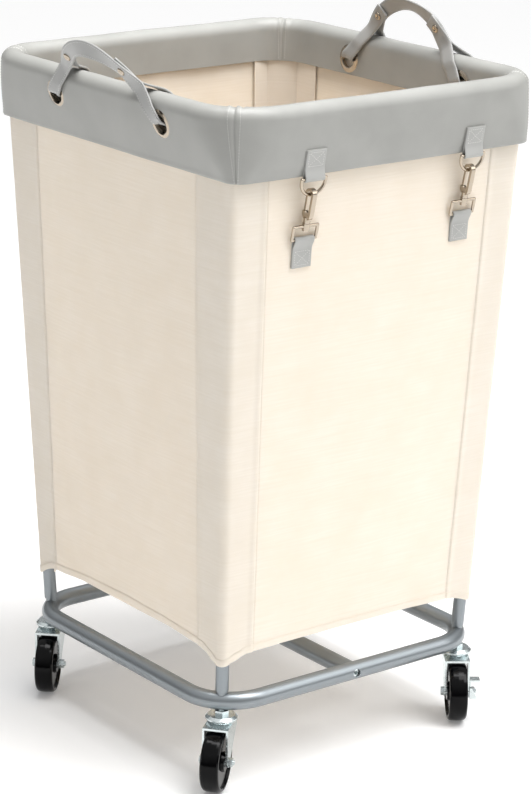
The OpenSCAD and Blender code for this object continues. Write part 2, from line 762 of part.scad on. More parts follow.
module hook_outline() {
    difference() {
        capsule(hook_r, hook_low + hook_r, eye_z);
        capsule(slot_r, slot_low + slot_r, eye_z);
        translate([1, gate_low + 3]) square([hook_r, gate_high - gate_low - 3]);
    }
}

// Children are drawn in the plane across the fabric: X towards the bag, Y along the closure.
module hook_plate(t) {
    rotate([90, 0, 90]) translate([0, 0, -t / 2]) linear_extrude(t) children();
}

module snap_hook(s) {
    color(nickel) in_chain(s) {
        difference() {
            hook_plate(hook_t) hook_outline();
            hook_plate(gate_t + 0.4) {
                translate([gate_y, gate_low]) circle(r = 2.7);
                translate([gate_y - 4, gate_low]) square([8, 4]);
            }
        }
        translate([0, 0, barrel_high + 0.2]) cylinder(h = hook_low + 3 - barrel_high - 0.2, r = 4);
        translate([0, 0, barrel_low - 1.9]) cylinder(h = hook_low - barrel_low + 3, r = shank_r);
        translate([0, 0, barrel_low - 1.9]) cylinder(h = 1.7, r = 3.9);
        translate([-hook_t / 2, gate_y, gate_low]) rotate([0, 90, 0]) cylinder(h = hook_t, r = 0.8);
    }
}

module snap_gate(s) {
    color(nickel) in_chain(s) hook_plate(gate_t) difference() {
        union() {
            translate([gate_y, gate_low]) circle(r = 2.3);
            translate([hook_r - 3.2, gate_low]) square([3, gate_high - gate_low - 0.3]);
        }
        translate([gate_y, gate_low]) circle(r = 0.8 + pin_gap);
    }
}

// ---- the parts, one by one ----

module set_off() {
    translate([mid_x, 0, 0]) children();
}

set_off() base_ring_left();
set_off() base_ring_right();
set_off() cross_bar();
set_off() tube_plugs();
set_off() cross_bar_screws();
set_off() post(FL);  // post_front_left
set_off() post(FR);  // post_front_right
set_off() post(BL);  // post_back_left
set_off() post(BR);  // post_back_right
set_off() top_ring(-1);  // top_ring_left
set_off() top_ring(1);  // top_ring_right
set_off() stem(FL);  // stem_front_left
set_off() stem(FR);  // stem_front_right
set_off() stem(BL);  // stem_back_left
set_off() stem(BR);  // stem_back_right
set_off() stem_nuts();
set_off() fork(FL);  // fork_front_left
set_off() fork(FR);  // fork_front_right
set_off() fork(BL);  // fork_back_left
set_off() fork(BR);  // fork_back_right
set_off() axle(FL, false);  // axle_front_left
set_off() axle(FR, true);  // axle_front_right
set_off() axle(BL, false);  // axle_back_left
set_off() axle(BR, true);  // axle_back_right
set_off() wheel(FL);  // wheel_front_left
set_off() wheel(FR);  // wheel_front_right
set_off() wheel(BL);  // wheel_back_left
set_off() wheel(BR);  // wheel_back_right
set_off() brake(FR);  // brake_front_right
set_off() brake(BR);  // brake_back_right
set_off() wall_y(-1);  // bag_front
set_off() wall_y(1);  // bag_back
set_off() wall_x(-1);  // bag_left
set_off() wall_x(1);  // bag_right
set_off() bag_floor();
set_off() sleeve(FL);  // sleeve_front_left
set_off() sleeve(FR);  // sleeve_front_right
set_off() sleeve(BL);  // sleeve_back_left
set_off() sleeve(BR);  // sleeve_back_right
set_off() cuff_end(-1);  // cuff_front
set_off() cuff_end(1);  // cuff_back
set_off() cuff_side(-1);  // cuff_left
set_off() cuff_side(1);  // cuff_right
set_off() eyelets();
set_off() handle_loops();
set_off() handle_left();
set_off() handle_right();
set_off() rivets(-1, lean_left);  // handle_left_rivets
set_off() rivets(1, lean_right);  // handle_right_rivets
set_off() cuff_tabs();
set_off() bag_tabs();
set_off() d_ring(-1);  // d_ring_left
set_off() d_ring(1);  // d_ring_right
set_off() loop_base(-1);  // loop_base_left
set_off() loop_base(1);  // loop_base_right
set_off() snap_hook(-1);  // snap_hook_left
set_off() snap_hook(1);  // snap_hook_right
set_off() snap_gate(-1);  // snap_gate_left
set_off() snap_gate(1);  // snap_gate_right
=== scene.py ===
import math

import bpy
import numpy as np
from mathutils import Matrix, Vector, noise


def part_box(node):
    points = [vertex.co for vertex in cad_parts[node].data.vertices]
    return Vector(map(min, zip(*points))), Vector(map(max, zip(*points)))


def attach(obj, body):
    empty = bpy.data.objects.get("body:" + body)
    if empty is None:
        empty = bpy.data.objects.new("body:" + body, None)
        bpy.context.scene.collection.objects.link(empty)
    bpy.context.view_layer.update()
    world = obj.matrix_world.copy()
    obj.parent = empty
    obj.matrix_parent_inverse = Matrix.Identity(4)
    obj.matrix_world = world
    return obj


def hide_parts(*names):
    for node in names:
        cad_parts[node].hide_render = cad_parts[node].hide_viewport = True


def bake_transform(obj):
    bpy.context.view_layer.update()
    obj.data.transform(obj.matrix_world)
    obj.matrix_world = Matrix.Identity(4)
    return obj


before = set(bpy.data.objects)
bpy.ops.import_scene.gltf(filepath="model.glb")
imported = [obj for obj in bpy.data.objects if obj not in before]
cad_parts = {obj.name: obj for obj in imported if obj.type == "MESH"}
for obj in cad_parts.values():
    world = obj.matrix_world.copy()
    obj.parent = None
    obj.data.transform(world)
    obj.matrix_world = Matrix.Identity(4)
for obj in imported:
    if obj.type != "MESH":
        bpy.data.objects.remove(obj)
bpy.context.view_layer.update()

# %% [markdown]
# # A laundry sorter on wheels
# The frame comes in first: every tube, caster, ring and plain fabric solid already has its size and
# place, in metres. This lesson dresses it. Metal parts keep their shapes and only get a finish; the
# bag, the rim cuff, the handles and the tabs are built again as sewn goods.

# %% [markdown]
# ## Where things stand
# Measurements are taken from the frame's own boxes, so the sewn parts always fit it. The posts lean
# outwards, so each fabric wall is a little wider at the top than at the bottom.

# %% Places taken from the frame
MM = 0.001
ring_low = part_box("base_ring_left")[0]
ring_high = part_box("base_ring_right")[1]
MID = Vector(((ring_low[0] + ring_high[0]) / 2, 0, 0))
post_low, post_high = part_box("post_back_right")
POST_R = 8 * MM
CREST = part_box("cuff_front")[1][2]
RIM_Z = CREST - 14.5 * MM
CUFF_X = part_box("cuff_right")[1][0] - MID.x
CUFF_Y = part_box("cuff_back")[1][1]


def post_at(z):
    """The post's middle at height z, measured from the middle of the base."""
    t = (z - post_low[2]) / (post_high[2] - post_low[2])
    x = (post_low[0] + POST_R) * (1 - t) + (post_high[0] - POST_R) * t - MID.x
    y = (post_low[1] + POST_R) * (1 - t) + (post_high[1] - POST_R) * t
    return x, y


print("middle of the base", round(MID.x, 4), "rim height", round(RIM_Z, 4))
print("post at the bottom and top", post_at(0.12), post_at(0.81))

# %% [markdown]
# ## Colours and one node helper
# Colours are written as the hex values a designer would pick on a screen. Blender's shaders want
# linear light, so one function turns them. One small helper adds any node with its settings.

# %% Colour and node helpers


def colour(code):
    """An sRGB hex colour as linear light with alpha."""
    parts = [int(code[i:i + 2], 16) / 255 for i in (1, 3, 5)]
    return tuple(c / 12.92 if c <= 0.04045 else ((c + 0.055) / 1.055) ** 2.4 for c in parts) + (1.0,)


def add_node(material, kind, inputs=None, **settings):
    """Adds a node; a value that is a socket is linked, anything else is set."""
    made = material.node_tree.nodes.new(kind)
    for name, value in settings.items():
        setattr(made, name, value)
    for name, value in (inputs or {}).items():
        if isinstance(value, bpy.types.NodeSocket):
            material.node_tree.links.new(value, made.inputs[name])
        else:
            made.inputs[name].default_value = value
    return made


def new_finish(name, **values):
    """A material with a Principled shader; values set its sockets by name."""
    made = bpy.data.materials.new(name)
    made.use_nodes = True
    shader = made.node_tree.nodes["Principled BSDF"]
    for key, value in values.items():
        shader.inputs[key.replace("_", " ")].default_value = value
    return made, shader


# %% [markdown]
# ## Cotton canvas
# The bag is natural cotton canvas, a plain weave of thick yarns. It scatters light softly, has
# almost no shine and shows faint slubs where a yarn is thicker. The yarns lie 0.8 mm apart, so
# they only show close up, as a fine relief; the slubs and the soft mottling carry the look from
# afar. A little light passes through the cloth, so its shaded sides stay warm and bright.

# %% Canvas, woven cotton
YARN = 0.8 * MM
WAVE_PERIOD = 0.314  # a Wave texture of scale 1 repeats this often, in metres
SLUBS_PER_METRE = (14, 420, 1)  # about 70 mm long and 2.4 mm wide
MOTTLES_PER_METRE = 22


def canvas_finish(name, light, dark):
    """Woven cotton: slubs and mottling tint it, the two sets of yarns give its relief."""
    made, shader = new_finish(name, Roughness=0.88, IOR=1.46)
    shader.inputs["Sheen Weight"].default_value = 0.15
    shader.inputs["Sheen Roughness"].default_value = 0.6
    shader.inputs["Subsurface Weight"].default_value = 0.35
    shader.inputs["Subsurface Radius"].default_value = (1.0, 0.9, 0.8)
    shader.inputs["Subsurface Scale"].default_value = 6 * MM
    place = add_node(made, "ShaderNodeTexCoord").outputs["Object"]
    split = add_node(made, "ShaderNodeSeparateXYZ", {"Vector": place})
    across = add_node(made, "ShaderNodeMath", {0: split.outputs["X"], 1: split.outputs["Y"]},
                      operation="ADD")
    flat = add_node(made, "ShaderNodeCombineXYZ", {"X": across.outputs[0], "Y": split.outputs["Z"]})
    bands = {"Vector": flat.outputs[0], "Scale": WAVE_PERIOD / YARN}
    warp = add_node(made, "ShaderNodeTexWave", bands, bands_direction="X")
    weft = add_node(made, "ShaderNodeTexWave", bands, bands_direction="Y")
    weave = add_node(made, "ShaderNodeMath", {0: warp.outputs["Fac"], 1: weft.outputs["Fac"]},
                     operation="ADD")
    long_way = add_node(made, "ShaderNodeMapping", {"Vector": flat.outputs[0],
                                                    "Scale": SLUBS_PER_METRE})
    slubs = add_node(made, "ShaderNodeTexNoise", {"Vector": long_way.outputs[0], "Scale": 1.0,
                                                  "Detail": 2.0})
    mottle = add_node(made, "ShaderNodeTexNoise", {"Vector": place, "Scale": MOTTLES_PER_METRE,
                                                   "Detail": 3.0})
    both = add_node(made, "ShaderNodeMath", {0: slubs.outputs["Fac"], 1: mottle.outputs["Fac"]},
                    operation="MULTIPLY")
    tint = add_node(made, "ShaderNodeMapRange", {"Value": both.outputs[0], "From Min": 0.12,
                                                 "From Max": 0.40})
    mix = add_node(made, "ShaderNodeMix", {0: tint.outputs[0], 6: colour(dark), 7: colour(light)},
                   data_type="RGBA")
    relief = add_node(made, "ShaderNodeBump", {"Height": weave.outputs[0], "Strength": 0.25,
                                               "Distance": 0.1 * MM})
    made.node_tree.links.new(mix.outputs[2], shader.inputs["Base Color"])
    made.node_tree.links.new(relief.outputs[0], shader.inputs["Normal"])
    return made


CANVAS = canvas_finish("natural cotton canvas", "#F1E5D6", "#ECDFCE")
print("made", CANVAS.name)

# %% [markdown]
# ## Grained leatherette
# The cuff, straps and tabs are coated fabric pressed with a leather grain. The coat is a soft
# plastic with a satin shine; the grain is about 0.9 mm from cell to cell and very shallow.

# %% Leatherette, embossed and satin
GRAIN = 0.9 * MM
CLOUDS_PER_METRE = 16


def leatherette_finish(name, light, dark, roughness):
    """Pressed plastic skin: clouds vary its colour and shine, small cells give its grain."""
    made, shader = new_finish(name, Roughness=roughness, IOR=1.5)
    place = add_node(made, "ShaderNodeTexCoord").outputs["Object"]
    cells = add_node(made, "ShaderNodeTexVoronoi", {"Vector": place, "Scale": 1 / GRAIN})
    cloud = add_node(made, "ShaderNodeTexNoise", {"Vector": place, "Scale": CLOUDS_PER_METRE,
                                                  "Detail": 4.0})
    wear = add_node(made, "ShaderNodeMapRange", {"Value": cloud.outputs["Fac"], "From Min": 0.35,
                                                 "From Max": 0.65})
    mix = add_node(made, "ShaderNodeMix", {0: wear.outputs[0], 6: colour(dark), 7: colour(light)},
                   data_type="RGBA")
    shine = add_node(made, "ShaderNodeMapRange", {"Value": cloud.outputs["Fac"], "From Min": 0.3,
                                                  "From Max": 0.7, "To Min": roughness - 0.05,
                                                  "To Max": roughness + 0.06})
    relief = add_node(made, "ShaderNodeBump", {"Height": cells.outputs["Distance"], "Strength": 0.12,
                                               "Distance": 0.1 * MM})
    made.node_tree.links.new(mix.outputs[2], shader.inputs["Base Color"])
    made.node_tree.links.new(shine.outputs[0], shader.inputs["Roughness"])
    made.node_tree.links.new(relief.outputs[0], shader.inputs["Normal"])
    return made


CUFF_SKIN = leatherette_finish("grey grained leatherette, cuff", "#A3A39F", "#9B9B97", 0.42)
STRAP_SKIN = leatherette_finish("grey grained leatherette, straps", "#A8A8A6", "#9C9C9A", 0.38)
# The tabs take a lighter copy of the strap leatherette: painted light, standing in for the brighter light
# that falls on them.
TAB_SKIN_PAINTED_LIGHTER = leatherette_finish("grey grained leatherette, tabs", "#B0B0AD", "#A5A5A2", 0.40)
print("made", [m.name for m in (CUFF_SKIN, STRAP_SKIN, TAB_SKIN_PAINTED_LIGHTER)])

# %% [markdown]
# ## Coated tube, zinc, nickel and black plastic
# The tubes are powder coated in silver grey: metal flakes in a satin film with a faint orange
# peel. Casters and screws are zinc plated steel, bluish and a little uneven. Rings and hooks are
# polished nickel, warmer and mirror smooth; its colour is set darker than fresh plate, because
# everything round it is pale. The wheels are solid moulded plastic with their shine kept low.

# %% Metal and plastic finishes


def add_uneven(material, shader, size, base, spread, depth):
    """Unevenness of a given size in metres: a roughness cloud and a shallow relief."""
    place = add_node(material, "ShaderNodeTexCoord").outputs["Object"]
    cloud = add_node(material, "ShaderNodeTexNoise", {"Vector": place, "Scale": 1 / size, "Detail": 3.0})
    rough = add_node(material, "ShaderNodeMapRange", {"Value": cloud.outputs["Fac"], "From Min": 0.3,
                                                      "From Max": 0.7, "To Min": base,
                                                      "To Max": base + spread})
    relief = add_node(material, "ShaderNodeBump", {"Height": cloud.outputs["Fac"], "Strength": 0.2,
                                                   "Distance": depth})
    material.node_tree.links.new(rough.outputs[0], shader.inputs["Roughness"])
    material.node_tree.links.new(relief.outputs[0], shader.inputs["Normal"])


COATED, shader = new_finish("silver grey powder coat", Base_Color=colour("#8E9498"), Metallic=0.7)
add_uneven(COATED, shader, 2.0 * MM, 0.30, 0.08, 0.04 * MM)
ZINC, shader = new_finish("bright zinc plate", Base_Color=colour("#CDD5D6"), Metallic=1.0)
add_uneven(ZINC, shader, 3.0 * MM, 0.16, 0.14, 0.06 * MM)
NICKEL, shader = new_finish("polished nickel plate", Base_Color=colour("#B5A999"), Metallic=1.0)
add_uneven(NICKEL, shader, 2.0 * MM, 0.08, 0.08, 0.02 * MM)
WHEEL_BLACK, shader = new_finish("moulded black nylon", Base_Color=colour("#030304"), IOR=1.53)
shader.inputs["Specular IOR Level"].default_value = 0.12
add_uneven(WHEEL_BLACK, shader, 1.5 * MM, 0.10, 0.08, 0.01 * MM)
COTTON_THREAD, shader = new_finish("natural cotton thread", Base_Color=colour("#EFE4D3"), Roughness=0.8)
add_uneven(COTTON_THREAD, shader, 0.4 * MM, 0.7, 0.2, 0.05 * MM)
GREY_THREAD, shader = new_finish("grey polyester thread", Base_Color=colour("#D6D6D2"), Roughness=0.6)
add_uneven(GREY_THREAD, shader, 0.4 * MM, 0.45, 0.2, 0.05 * MM)
print("made", [m.name for m in (COATED, ZINC, NICKEL, WHEEL_BLACK, COTTON_THREAD, GREY_THREAD)])

# %% [markdown]
# ## Finishing the hard parts
# Each hard part keeps its shape from the frame. The name says what it is made of. Pressed and
# turned metal never has a knife edge, so the small parts get a narrow bevel that catches the light.

# %% Give each hard part its finish
FINISH_BY_NAME = [
    ("base_ring", COATED), ("cross_bar_screws", ZINC), ("cross_bar", COATED), ("post", COATED),
    ("top_ring", COATED), ("tube_plugs", COATED), ("stem", ZINC), ("fork", ZINC), ("axle", ZINC),
    ("brake", ZINC), ("wheel", WHEEL_BLACK), ("eyelets", NICKEL), ("d_ring", NICKEL),
    ("loop_base", NICKEL), ("snap", NICKEL), ("bag", CANVAS), ("sleeve", CANVAS), ("cuff", CUFF_SKIN),
]
BEVEL_MM = [("base_ring", 0.5), ("fork", 0.5), ("brake", 0.5), ("snap_hook", 0.7),
            ("snap_gate", 0.4), ("loop_base", 0.3)]


def finish_for(name):
    """The finish whose start of name fits the part; straps and tabs are what is left."""
    if "rivets" in name:
        return NICKEL
    for start, made in FINISH_BY_NAME:
        if name.startswith(start):
            return made
    return STRAP_SKIN


for name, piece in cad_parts.items():
    piece.data.materials.clear()
    piece.data.materials.append(finish_for(name))
    for start, width in BEVEL_MM:
        if name.startswith(start):
            soft_edge = piece.modifiers.new("soft edge", "BEVEL")
            soft_edge.width = width * MM
            soft_edge.segments = 2
            soft_edge.limit_method = "ANGLE"
            soft_edge.angle_limit = math.radians(40)
print("finished", len(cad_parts), "parts of the frame")

# %% [markdown]
# ## Building a sewn surface
# A sewn shell is a grid of points: rows go up the fabric and columns go along it. From the grid
# come its outward directions, so that seams, folds and wrinkles are simply pushed in or out by a
# fraction of a millimetre. A Solidify modifier then gives the cloth its thickness.

# %% Grids, outward directions and shells


def outward(grid, closed):
    """Unit directions out of a grid of points; columns wrap round if closed."""
    if closed:
        along = np.roll(grid, -1, axis=1) - np.roll(grid, 1, axis=1)
    else:
        along = np.gradient(grid, axis=1)
    up = np.gradient(grid, axis=0)
    across = np.cross(along, up)
    size = np.linalg.norm(across, axis=2, keepdims=True)
    return across / np.maximum(size, 1e-12)


def shell(name, grid, closed, thickness, material, drop=None):
    """A smooth mesh from a grid of points, thickened inwards; drop(face middle) leaves faces out."""
    rows, columns = grid.shape[:2]
    points = grid.reshape(-1, 3)
    faces = []
    for i in range(rows - 1):
        for j in range(columns if closed else columns - 1):
            k = (j + 1) % columns
            face = (i * columns + j, i * columns + k, (i + 1) * columns + k, (i + 1) * columns + j)
            if drop is None or not drop(points[list(face)].mean(axis=0)):
                faces.append(face)
    mesh = bpy.data.meshes.new(name)
    mesh.from_pydata([tuple(p) for p in points], [], faces)
    mesh.polygons.foreach_set("use_smooth", [True] * len(mesh.polygons))
    mesh.materials.append(material)
    made = bpy.data.objects.new(name, mesh)
    bpy.context.scene.collection.objects.link(made)
    if thickness:
        thick = made.modifiers.new("cloth thickness", "SOLIDIFY")
        thick.thickness = thickness
        thick.offset = -1
    return made


def wobble(p, size, seed):
    """Soft noise between -1 and 1 for a point, with hills about size metres apart."""
    return noise.noise(Vector((p[0] / size + seed, p[1] / size, p[2] / size)))


# %% [markdown]
# ## Stitches
# A row of stitches is many short threads. Each one is a slim lozenge that lies along the seam and
# stands a little out of the cloth. All the stitches of one piece are kept in one mesh.

# %% Stitch rows


def stitch_row(store, path, out, pitch=3.2 * MM, length=2.3 * MM, thick=0.35 * MM):
    """Adds stitches along a path of points; out holds the outward direction at each point."""
    path = np.array(path, float)
    out = np.array(out, float)
    steps = np.linalg.norm(np.diff(path, axis=0), axis=1)
    far = np.concatenate([[0], np.cumsum(steps)])
    for s in np.arange(pitch / 2, far[-1] - length / 2, pitch):
        a, b, n = (np.array([np.interp(v, far, grid[:, k]) for k in range(3)])
                   for v, grid in ((s - length / 2, path), (s + length / 2, path), (s, out)))
        n = n / np.linalg.norm(n)
        side = np.cross(b - a, n)
        side = side / np.linalg.norm(side) * thick
        middle = (a + b) / 2
        first = len(store["points"])
        store["points"] += [a, middle + side, middle + n * thick * 1.3, middle - side, b]
        store["faces"] += [(first, first + 1, first + 2), (first, first + 2, first + 3),
                           (first + 4, first + 2, first + 1), (first + 4, first + 3, first + 2)]


def stitches(name, store, material):
    """One mesh of all the stitches kept in the store."""
    mesh = bpy.data.meshes.new(name)
    mesh.from_pydata([tuple(p) for p in store["points"]], [], store["faces"])
    mesh.polygons.foreach_set("use_smooth", [True] * len(mesh.polygons))
    mesh.materials.append(material)
    made = bpy.data.objects.new(name, mesh)
    bpy.context.scene.collection.objects.link(made)
    print(name, len(store["faces"]) // 4, "stitches")
    return made


# %% [markdown]
# ## The bag's outer shell
# One lofted shell goes round all four posts. Between two seams a wall is a flat panel that sags
# outwards a little; beside each post the cloth is a sleeve that wraps the tube. The lower edge
# is hemmed: it arches between the posts and dips to a point round each of them.

# %% Stations round the bag
OUT_R = 10.5 * MM
BAG_TOP = 0.800
WALL_LOW = 0.168
SLEEVE_LOW = 155  # lower end of the sleeves in millimetres
EDGE = {"front": (165, 1.5), "right": (169, 6), "back": (169, 6), "left": (169.5, 6.5)}
SEAM_STEPS = [(-7, 0), (-5.5, 0.6), (-2.5, 0.9), (-0.9, 0.7), (0, -1.1), (0.9, 0), (2.5, 0.1), (7, 0)]


def seam_from_post(z, along_x):
    """How far a side seam stands from the post's middle; it drifts with height."""
    t = (z - WALL_LOW) / (0.814 - WALL_LOW)
    return (36 + 4 * t + (0 if along_x else 20 * t)) * MM


def side_stations():
    """Stations along one side as (kind, value, step out in mm), from one post to the next."""
    flange = [("flange", v, 0) for v in (0, 0.12, 0.25, 0.4, 0.55, 0.7, 0.85)]
    seam = [("seam", s * MM, d) for s, d in SEAM_STEPS]
    panel = [("panel", v, 0) for v in np.linspace(-1, 1, 25)[1:-1]]
    far_seam = [("far seam", s * MM, d) for s, d in reversed(SEAM_STEPS)]
    far_flange = [("far flange", v, 0) for v in (0.85, 0.7, 0.55, 0.4, 0.25, 0.12, 0)]
    return flange + seam + panel + far_seam + far_flange


def place_on_side(station, z, along_x):
    """The station's place along its side at height z, and how far across the panel it is."""
    half = post_at(z)[0 if along_x else 1]
    seam = half - seam_from_post(z, along_x)
    kind, value, step = station
    if kind == "panel":
        return value * (seam - 7 * MM), value
    if kind in ("seam", "far seam"):
        place = -seam + value
        return (place, -1) if kind == "seam" else (-place, 1)
    place = -half + value * (half - seam - 7 * MM)
    return (place, -1) if kind == "flange" else (-place, 1)


print("stations on a side", len(side_stations()))

# %% [markdown]
# The sag is at most 4 mm, least near the hem and under the cuff. Gentle vertical waves, small
# puckers beside the seams and slanting creases above each sleeve's end keep it from looking cut
# out of board.

# %% Loft the shell
SIDES = [("front", 0), ("right", 90), ("back", 180), ("left", 270)]
HEM_ROWS = [0, 0.4, 1.2, 3.5, 6.5, 8.2, 9.0, 9.8, 12, 16, 22, 29]


def height_at(edge, level):
    """Height for a level: millimetres above the edge up to 30, then shares of the way to the top."""
    if level < 30:
        return (edge + level) * MM
    return (edge + 30) * MM + (BAG_TOP - (edge + 30) * MM) * (level - 30) / 100


def side_point(side, station, level):
    """One point of the shell as if its side were the front."""
    along_x = side in ("front", "back")
    low, arch = EDGE[side]
    kind = station[0]
    place, across = place_on_side(station, WALL_LOW, along_x)
    half = post_at(WALL_LOW)[0 if along_x else 1]
    seam = half - seam_from_post(WALL_LOW, along_x)
    if kind == "panel":
        edge = low + arch * (1 - across ** 2)
    else:
        beyond = min(max((abs(place) - seam) / (half - seam), 0), 1)
        edge = low + (SLEEVE_LOW - low) * beyond ** 1.6
    z = height_at(edge, level)
    place, across = place_on_side(station, z, along_x)
    face = post_at(z)[1 if along_x else 0] + OUT_R
    rise = (z - edge * MM) / (BAG_TOP - edge * MM)
    sag = 4.0 * MM * (1 - across ** 2) * math.sin(math.pi * rise ** 0.8) if kind == "panel" else 0
    return place, -(face + sag), z


def shell_grid():
    """The plain loft, with the side and station of each column and the level of each row."""
    levels = HEM_ROWS + list(np.linspace(31, 130, 56))
    grid = np.zeros((len(levels), 0, 3))
    steps = []
    for side, turn in SIDES:
        block = []
        angle = math.radians(turn)
        for station in side_stations():
            column = []
            for level in levels:
                x, y, z = side_point(side, station, level)
                column.append((x * math.cos(angle) - y * math.sin(angle),
                               x * math.sin(angle) + y * math.cos(angle), z))
            block.append(column)
            steps.append((side, station))
        for turn_more in (15, 30, 45, 60, 75):
            column = []
            for level in levels:
                z = height_at(SLEEVE_LOW - 1.5 * math.sin(math.radians(turn_more * 2)), level)
                px, py = post_at(z)
                around = math.radians(turn - 90 + turn_more)
                sx = 1 if side in ("front", "right") else -1
                sy = -1 if side in ("front", "left") else 1
                column.append((sx * px + OUT_R * math.cos(around), sy * py + OUT_R * math.sin(around), z))
            block.append(column)
            steps.append((side, ("arc", turn_more, 0)))
        grid = np.concatenate([grid, np.array(block).transpose(1, 0, 2)], axis=1)
    return grid, steps, levels


def dress_shell(grid, steps, levels):
    """Pushes the loft out and in: hem, seams, puckers, creases and soft waves."""
    out = outward(grid, True)
    push = np.zeros(grid.shape[:2])
    for j, (side, (kind, value, step)) in enumerate(steps):
        for i, level in enumerate(levels):
            p = grid[i, j]
            push[i, j] += step * MM
            if level < 9.4:
                push[i, j] += (0.7 - 0.9 * (8.6 < level < 9.4)) * MM
            if kind in ("seam", "far seam"):
                push[i, j] += 0.22 * MM * wobble(p, 11 * MM, 3)
            push[i, j] += 1.3 * MM * wobble((p[0] * 3, p[1] * 3, p[2] * 0.5), 0.13, 7) * (kind == "panel")
            push[i, j] += 0.35 * MM * wobble(p, 0.035, 11)
            if kind in ("flange", "far flange", "seam", "far seam", "arc"):
                rise = max(p[2] - SLEEVE_LOW * MM, 0)
                crease = math.sin(2 * math.pi * (p[2] + 0.35 * (p[0] + p[1])) / (13 * MM))
                push[i, j] += 0.8 * MM * crease * math.exp(-rise / (16 * MM)) * (kind != "arc")
    return grid + out * push[..., None]


plain, steps, levels = shell_grid()
bag_grid = dress_shell(plain, steps, levels) + np.array(MID)
bag_shell = shell("bag_outer_shell", bag_grid, True, 1.6 * MM, CANVAS)
print("bag shell", bag_grid.shape, "lowest", round(float(bag_grid[..., 2].min()), 4))

# %% [markdown]
# ## Sleeve linings and the bag's floor
# Inside each corner a second ply passes behind the post and closes the sleeve. The floor is one
# more panel, sewn to the hem and hanging a few millimetres lower in its middle.

# %% Linings and floor


def smooth_corners(points, times):
    """Cuts the corners of a line of points again and again until it runs smoothly."""
    for _ in range(times):
        points = [points[0]] + [q for a, b in zip(points[:-1], points[1:])
                                for q in (a * 0.75 + b * 0.25, a * 0.25 + b * 0.75)] + [points[-1]]
    return points


LINING_LOW = 0.158
LINING_HIGH = 0.792


def lining_grid(sx, sy):
    """The ply behind one post; sx and sy say which corner."""
    rows = []
    for z in np.linspace(LINING_LOW, LINING_HIGH, 44):
        px, py = post_at(z)
        beside = 6.4 * MM
        line = [np.array(p) for p in (
            (px + beside, py - seam_from_post(z, False) - 3 * MM), (px + beside, py - 24 * MM),
            (px + beside, py - 21 * MM), (px - 21 * MM, py + beside), (px - 24 * MM, py + beside),
            (px - seam_from_post(z, True) - 3 * MM, py + beside))]
        line = smooth_corners(line, 3)
        lift = np.abs(np.linspace(-1, 1, len(line))) ** 1.5 * 18 * MM
        lift = lift * (LINING_HIGH - z) / (LINING_HIGH - LINING_LOW)
        rows.append([(sx * p[0], sy * p[1], z + up) for p, up in zip(line, lift)])
    return np.array(rows)


linings = []
CORNERS = [("front_left", -1, -1), ("front_right", 1, -1), ("back_left", -1, 1), ("back_right", 1, 1)]
for name, sx, sy in CORNERS:
    grid = lining_grid(sx, sy)
    grid = grid if sx * sy > 0 else grid[:, ::-1]
    rise = np.clip((grid[..., 2] - LINING_LOW) / 0.03, 0, 1)
    wave = np.array([[wobble((p[0] * 2, p[1] * 2, p[2] * 0.6), 0.06, 21) for p in row]
                     for row in grid])
    grid = grid - outward(grid, False) * (wave * rise * 0.9 * MM)[..., None] + np.array(MID)
    linings.append(shell("sleeve_lining_" + name, grid, False, 1.0 * MM, CANVAS))


def floor_grid():
    """The bag's floor: square, cut back at the posts and hanging lower in its middle."""
    rows = []
    half = np.array(post_at(0.17)) + 6.0 * MM
    for v in np.linspace(-1, 1, 31):
        row = []
        for u in np.linspace(-1, 1, 31):
            reach = 1 - 0.055 * (abs(u) * abs(v)) ** 6
            dip = -3.0 * MM * (1 - u * u) * (1 - v * v) + 0.5 * MM * wobble((u, v, 0), 0.3, 5)
            row.append((MID.x + u * reach * half[0], v * reach * half[1], 0.1718 + dip))
        rows.append(row)
    return np.array(rows)


bag_floor = shell("bag_floor_panel", floor_grid(), False, 2.0 * MM, CANVAS)
print("linings", len(linings), "floor", bag_floor.name)

# %% [markdown]
# ## The rim cuff
# The cuff is one padded band of leatherette, folded over the top ring: an outer leaf that leans
# out from the bag, a soft roll over the tube and a shorter inner leaf. Its four pieces meet in
# upright seams at the corners. Where the roll turns a corner the inner side is too long for its
# path, so it puckers. The grid has finer columns near the eyelets, where holes are left.

# %% Section and stations of the cuff
ROLL_R = 14.5 * MM
RING_X = CUFF_X - ROLL_R
RING_Y = CUFF_Y - ROLL_R
eyelet_low, eyelet_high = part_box("eyelets")
EYELET_R = 18 * MM
EYELET_Z = (eyelet_low[2] + eyelet_high[2]) / 2
EYELET_YS = (eyelet_low[1] + EYELET_R, eyelet_high[1] - EYELET_R)
OUTER_LOW = (221 * MM, 244 * MM, 20 * MM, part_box("cuff_front")[0][2])
INNER_LOW = (RING_X - ROLL_R - 1.5 * MM, RING_Y - ROLL_R - 1.5 * MM, 44 * MM, RIM_Z - 39 * MM)


def cuff_section():
    """(half width, half depth, corner radius, height, part) from the outer edge over the roll."""
    rows = []
    crest_out = (RING_X + ROLL_R, RING_Y + ROLL_R, 60 * MM + ROLL_R, RIM_Z)
    crest_in = (RING_X - ROLL_R, RING_Y - ROLL_R, 60 * MM - ROLL_R, RIM_Z)
    for t in [0, 0.006, 0.02, 0.05] + list(np.linspace(0.085, 0.96, 24)):
        rows.append([a + (b - a) * t for a, b in zip(OUTER_LOW, crest_out)] + [t])
    for angle in np.linspace(0, 180, 17):
        c, s = math.cos(math.radians(angle)) * ROLL_R, math.sin(math.radians(angle)) * ROLL_R
        rows.append([RING_X + c, RING_Y + c, 60 * MM + c, RIM_Z + s, 1 + angle / 180])
    for t in list(np.linspace(0.06, 0.94, 13)) + [0.98, 0.995, 1]:
        rows.append([a + (b - a) * t for a, b in zip(crest_in, INNER_LOW)] + [2 + t])
    return rows


